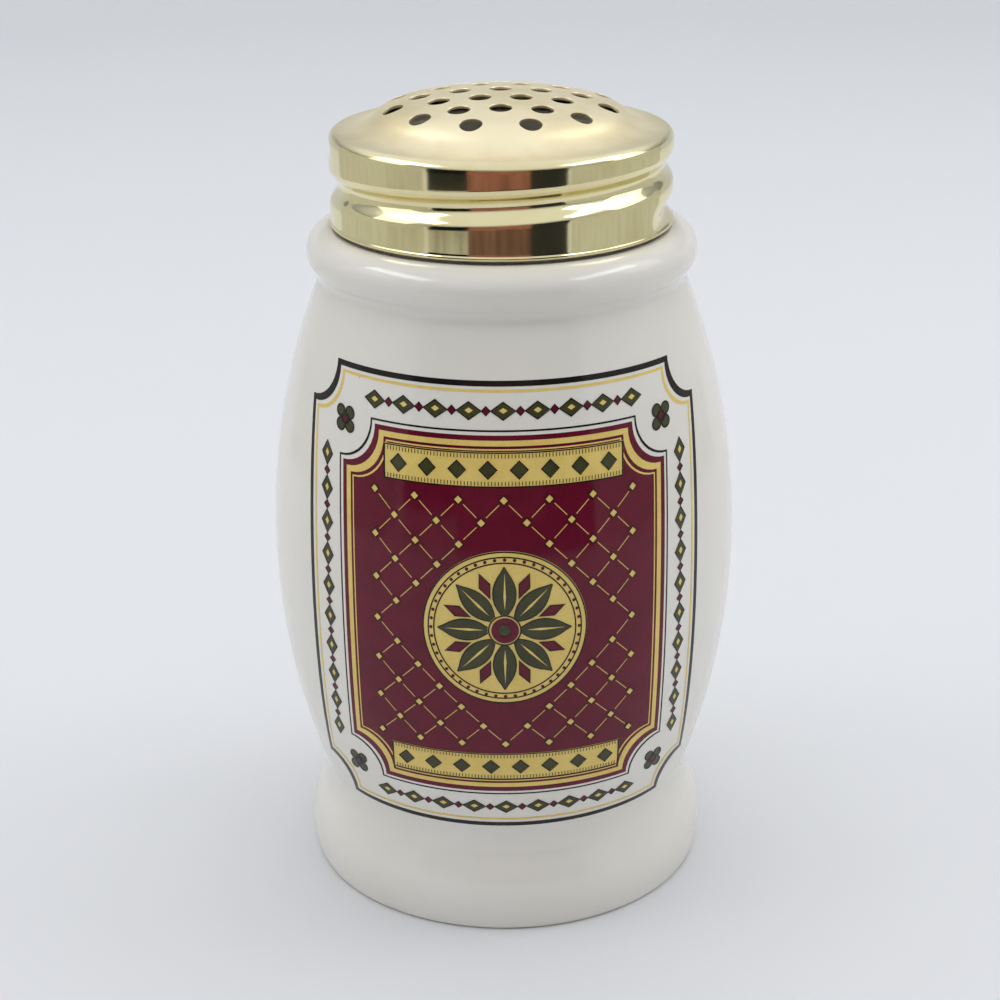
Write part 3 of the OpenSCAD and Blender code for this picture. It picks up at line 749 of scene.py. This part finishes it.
for v in cap_mesh.verts:
    r = math.hypot(v.co.x, v.co.y)
    if r > cap_in_r - shoulder_round and v.co.z < groove_top:
        hold = smooth_step((groove_top - v.co.z) / (groove_top - shoulder_c.y + shoulder_round))
        hold *= smooth_step((v.co.z - cap_z - hem_clear) / hem_h)
        v.co.xy *= 1 - groove(math.degrees(math.atan2(v.co.y, v.co.x)), v.co.z) * hold / r

# Places of the holes: rows of 3, 4, 5, 4 and 3 in the middle, and a ring round them
holes = [
    hole_pitch * Vector((i - (4 - abs(j)) / 2, j * math.sqrt(3) / 2))
    for j in range(-2, 3) for i in range(5 - abs(j))
]
for i in range(ring_holes):
    a = 2 * math.pi * (i + 0.5) / ring_holes
    holes.append(ring_r * Vector((math.sin(a), -math.cos(a))))

# The punch: its shoulder rolls the sheet's edge over where it enters
punch_reach = 1.2 * mm
punch_steps = 40
punch = Section(0, -punch_reach)
punch.line(hole_d / 2, -punch_reach)
punch.line(hole_d / 2, -punch_round)
punch.arc(Vector((hole_d / 2 + punch_round, -punch_round)), math.radians(100), 0.05 * mm)
punch.line(hole_d / 2 + punch_round, punch_reach)
punch.line(0, punch_reach)
punch_mesh = punch.turned(punch_steps)
one_punch = bpy.data.meshes.new("one_punch")
punch_mesh.to_mesh(one_punch)
punch_mesh.free()
punches = bmesh.new()
for q in holes:
    z, slope = crown(q.length)
    stand = Matrix.Translation((q.x, q.y, z)) @ Matrix.Rotation(math.atan2(q.y, q.x), 4, "Z")
    tool = one_punch.copy()
    tool.transform(stand @ Matrix.Rotation(slope, 4, "Y"))
    punches.from_mesh(tool)
    bpy.data.meshes.remove(tool)


def helper(name, bm):
    """An object that only lends its shape."""
    mesh = bpy.data.meshes.new(name)
    bm.to_mesh(mesh)
    bm.free()
    obj = bpy.data.objects.new(name, mesh)
    bpy.context.scene.collection.objects.link(obj)
    return obj


punch_set = helper("punch_set", punches)
unpierced = helper("unpierced_cap", cap_mesh)
pierce = unpierced.modifiers.new("pierce", "BOOLEAN")
pierce.operation = "DIFFERENCE"
pierce.solver = "EXACT"
pierce.object = punch_set
pierced = bmesh.new()
pierced.from_object(unpierced, bpy.context.evaluated_depsgraph_get())
for obj in (unpierced, punch_set):
    bpy.data.objects.remove(obj)

# Gold-lacquered tinplate, drawn and rolled. The rolls leave the skirt bright, with fine lines
# round it, and the crown keeps the sheet's paler satin, with an orange peel in the lacquer.
skirt_gold = "#ece2b3"
crown_gold = "#fff3cf"
worn_gold = "#dccb98"
satin_from, satin_to = 0.6 * mm, 2.2 * mm
peel_size = 0.5 * mm
drift_size = 12 * mm
line_length = 4 * mm
line_pitch = 0.12 * mm

lacquer = blank("Gold-lacquered tinplate, drawn and rolled")
place = add(lacquer, "ShaderNodeTexCoord").outputs["Object"]
height = add(lacquer, "ShaderNodeSeparateXYZ", {"Vector": place})
on_dome = add(lacquer, "ShaderNodeMapRange", {
    "Value": height.outputs["Z"],
    "From Min": shoulder_c.y + satin_from, "From Max": shoulder_c.y + satin_to},
    interpolation_type="SMOOTHSTEP")
peel = add(lacquer, "ShaderNodeTexNoise", {
    "Vector": place, "Scale": 1 / peel_size, "Detail": 3.0, "Roughness": 0.6})
drift = add(lacquer, "ShaderNodeTexNoise", {"Vector": place, "Scale": 1 / drift_size, "Detail": 3.0})
satin = add(lacquer, "ShaderNodeMapRange", {
    "Value": on_dome.outputs["Result"], "To Min": 0.06, "To Max": 0.42})
uneven = add(lacquer, "ShaderNodeMath", {
    0: drift.outputs["Fac"], 1: 0.06, 2: satin.outputs["Result"]}, operation="MULTIPLY_ADD")
tone = add(lacquer, "ShaderNodeMix", {
    "Factor": on_dome.outputs["Result"],
    "A": linear(skirt_gold), "B": linear(crown_gold)}, data_type="RGBA")
wear = add(lacquer, "ShaderNodeMapRange", {
    "Value": drift.outputs["Fac"], "From Min": 0.45, "From Max": 0.8, "To Max": 0.6})
worn = add(lacquer, "ShaderNodeMix", {
    "Factor": wear.outputs["Result"],
    "A": tone.outputs["Result"], "B": linear(worn_gold)}, data_type="RGBA")
dimpled = add(lacquer, "ShaderNodeBump", {
    "Height": peel.outputs["Fac"], "Strength": 0.15, "Distance": 0.01 * mm})
drawn_out = add(lacquer, "ShaderNodeVectorMath", {
    0: place, 1: (1 / line_length, 1 / line_length, 1 / line_pitch)}, operation="MULTIPLY")
lines = add(lacquer, "ShaderNodeTexNoise", {
    "Vector": drawn_out.outputs["Vector"], "Scale": 1.0, "Detail": 3.0})
line_strength = add(lacquer, "ShaderNodeMapRange", {
    "Value": on_dome.outputs["Result"], "To Min": 0.25, "To Max": 0.0})
lined =add(lacquer, "ShaderNodeBump", {
    "Height": lines.outputs["Fac"], "Strength": line_strength.outputs["Result"], "Distance": 0.004 * mm,
    "Normal": dimpled.outputs["Normal"]})
metal = add(lacquer, "ShaderNodeBsdfPrincipled", {
    "Base Color": worn.outputs["Result"], "Metallic": 1.0, "Roughness": uneven.outputs[0],
    "Normal": lined.outputs["Normal"]})
add(lacquer, "ShaderNodeOutputMaterial", {"Surface": metal.outputs["BSDF"]})
piece(pierced, "gold_cap", "cap", ["shaker_cap"], lacquer, crease=35)

# Studio
# A round sweep of pale paper is floor and backdrop. A large soft box hangs over the jar and
# two stand beside it, with two windows for the highlights. Screens of felt and card round the
# front give the bright skirt of the cap something to mirror.
blot_size = 18 * mm


def stage_piece(name, bm, colour, cloud=None):
    """A piece of the studio, with its sheet material, which may cloud into a second colour."""
    obj = helper(name, bm)
    obj.data.shade_smooth()
    sheet = blank(name)
    at = add(sheet, "ShaderNodeTexCoord").outputs["Object"]
    blot = add(sheet, "ShaderNodeTexNoise", {"Vector": at, "Scale": 1 / blot_size, "Detail": 3.0})
    share = add(sheet, "ShaderNodeMapRange", {
        "Value": blot.outputs["Fac"], "From Min": 0.4, "From Max": 0.65})
    clouded = add(sheet, "ShaderNodeMix", {
        "Factor": share.outputs["Result"],
        "A": linear(colour), "B": linear(cloud or colour)}, data_type="RGBA")
    matt = add(sheet, "ShaderNodeBsdfPrincipled", {
        "Base Color": clouded.outputs["Result"], "Roughness": 0.9, "IOR": 1.3})
    add(sheet, "ShaderNodeOutputMaterial", {"Surface": matt.outputs["BSDF"]})
    obj.data.materials.append(sheet)
    return obj


sweep_r = 1.6
sweep_round = 0.5
sweep_h = 1.1
sweep_step = 0.05
sweep_steps = 96
screen_r = 370 * mm
screen_h = 250 * mm
low_card_h = 46 * mm

sweep = Section(0, 0)
sweep.line(sweep_r - sweep_round, 0, sweep_step)
sweep.arc(Vector((sweep_r - sweep_round, sweep_round)), 0, sweep_step)
sweep.line(sweep_r, sweep_h)
sweep_mesh = sweep.turned(sweep_steps)
for f in sweep_mesh.faces:
    if f.normal.z < 0:
        f.normal_flip()
stage_piece("paper_sweep", sweep_mesh, "#dfe1e4")


def screen(name, start, end, low, high, colour, cloud=None, shades=False):
    """A curved screen round the jar, between two angles from the camera's side. Mirror-like
    surfaces see it, and it keeps light off the jar only where it shades."""
    card = Section(screen_r, low)
    card.line(screen_r, high)
    bmesh.ops.spin(
        card.bm, geom=card.bm.verts[:] + card.bm.edges[:], cent=(0, 0, 0), axis=(0, 0, 1),
        angle=math.radians(end - start), steps=24,
    )
    bmesh.ops.rotate(
        card.bm, verts=card.bm.verts, cent=(0, 0, 0),
        matrix=Matrix.Rotation(math.radians(start - 90), 3, "Z"),
    )
    obj = stage_piece(name, card.bm, colour, cloud)
    obj.visible_camera = False
    obj.visible_diffuse = obj.visible_shadow = shades


screen("dark_felt_left", -47, -21, low_card_h, screen_h, "#121212", shades=True)
screen("grey_card_low", -47, -21, 0, low_card_h, "#d4d2c8", "#a8a69e")
screen("brown_card_high", -21, 18, low_card_h, screen_h, "#b97c70", "#84594d")
screen("brown_card_low", -21, 18, 0, low_card_h, "#86655b", "#5b463e")
screen("dark_felt_right", 18, 42, low_card_h, screen_h, "#303030", shades=True)
screen("dark_felt_low", 18, 42, 0, low_card_h, "#303030")
screen("grey_card_left", -78, -50, 0, screen_h, "#dcdcd4", "#c8c8c0")
screen("pale_card_left", -130, -78, 0, screen_h, "#e2e2dc", "#d6d6d0")
screen("pale_card_right", 44.5, 125, 0, screen_h, "#e2e2dc", "#d2d2cb")

world = bpy.data.worlds.new("studio")
bpy.context.scene.world = world
world.use_nodes = True
world.node_tree.nodes.clear()
rays = add(world, "ShaderNodeLightPath")
seen = add(world, "ShaderNodeMath", {
    0: rays.outputs["Is Camera Ray"], 1: rays.outputs["Is Glossy Ray"]}, operation="MAXIMUM")
seen = add(world, "ShaderNodeMath", {
    0: seen.outputs[0], 1: rays.outputs["Is Transmission Ray"]}, operation="MAXIMUM")
light = add(world, "ShaderNodeBackground", {"Color": linear("#fbfbfd"), "Strength": 0.7})
sky = add(world, "ShaderNodeTexCoord").outputs["Generated"]
way = add(world, "ShaderNodeSeparateXYZ", {"Vector": sky})
overhead = add(world, "ShaderNodeMapRange", {
    "Value": way.outputs["Z"], "From Min": 0.1, "From Max": 0.8, "To Min": 1.0, "To Max": 1.1})
backdrop = add(world, "ShaderNodeBackground", {
    "Color": linear("#e3e5e8"), "Strength": overhead.outputs["Result"]})
both = add(world, "ShaderNodeMixShader", {
    "Fac": seen.outputs[0], 1: light.outputs["Background"], 2: backdrop.outputs["Background"]})
add(world, "ShaderNodeOutputWorld", {"Surface": both.outputs["Shader"]})
aim = Vector((0, 0, 80 * mm))


def soft_box(name, at, w, h, watts):
    """A rectangular lamp, turned to face the jar."""
    lamp = bpy.data.lights.new(name, "AREA")
    lamp.shape = "RECTANGLE"
    lamp.size, lamp.size_y, lamp.energy = w, h, watts
    obj = bpy.data.objects.new(name, lamp)
    bpy.context.scene.collection.objects.link(obj)
    obj.location = at
    obj.rotation_euler = (aim - obj.location).to_track_quat("-Z", "Y").to_euler()
    return obj


# The overhead box lights the jar, and where the metal would mirror it, it shows the world's
# bright top instead. The two windows only give the glaze and the metal their highlights.
soft_box("soft_box_top", (0, 0.1, 1.7), 2, 2, 12.6).visible_glossy = False
soft_box("soft_box_left", (-0.8, -0.1, 0.6), 0.5, 0.8, 1.3)
soft_box("soft_box_right", (0.8, 0.1, 0.6), 0.5, 0.8, 1.6)
soft_box("window_left", (-0.72, -0.17, 0.85), 0.76, 0.2, 1.9).visible_diffuse = False
soft_box("window_right", (0.72, -0.17, 0.85), 0.76, 0.2, 1.9).visible_diffuse = False

# Camera
# It stands 0.35 m in front of the jar's axis and looks down on the cap and the printed front,
# as in the photograph, from 0.21 m above the table.
cam_place = Vector((0, -348.5, 207.4)) * mm
cam_yaw, cam_pitch, cam_roll = -0.002, 0.379, -0.0085
cam = bpy.data.cameras.new("camera")
cam.sensor_width = 36
cam.lens = 73.3
cam.clip_start = 10 * mm
cam_obj = bpy.data.objects.new("camera", cam)
bpy.context.scene.collection.objects.link(cam_obj)
level = Matrix.Rotation(-cam_yaw, 4, "Z") @ Matrix.Rotation(math.radians(90) - cam_pitch, 4, "X")
cam_obj.matrix_world = Matrix.Translation(cam_place) @ level @ Matrix.Rotation(cam_roll, 4, "Z")
bpy.context.scene.camera = cam_obj

bpy.context.scene.view_settings.view_transform = "Standard"
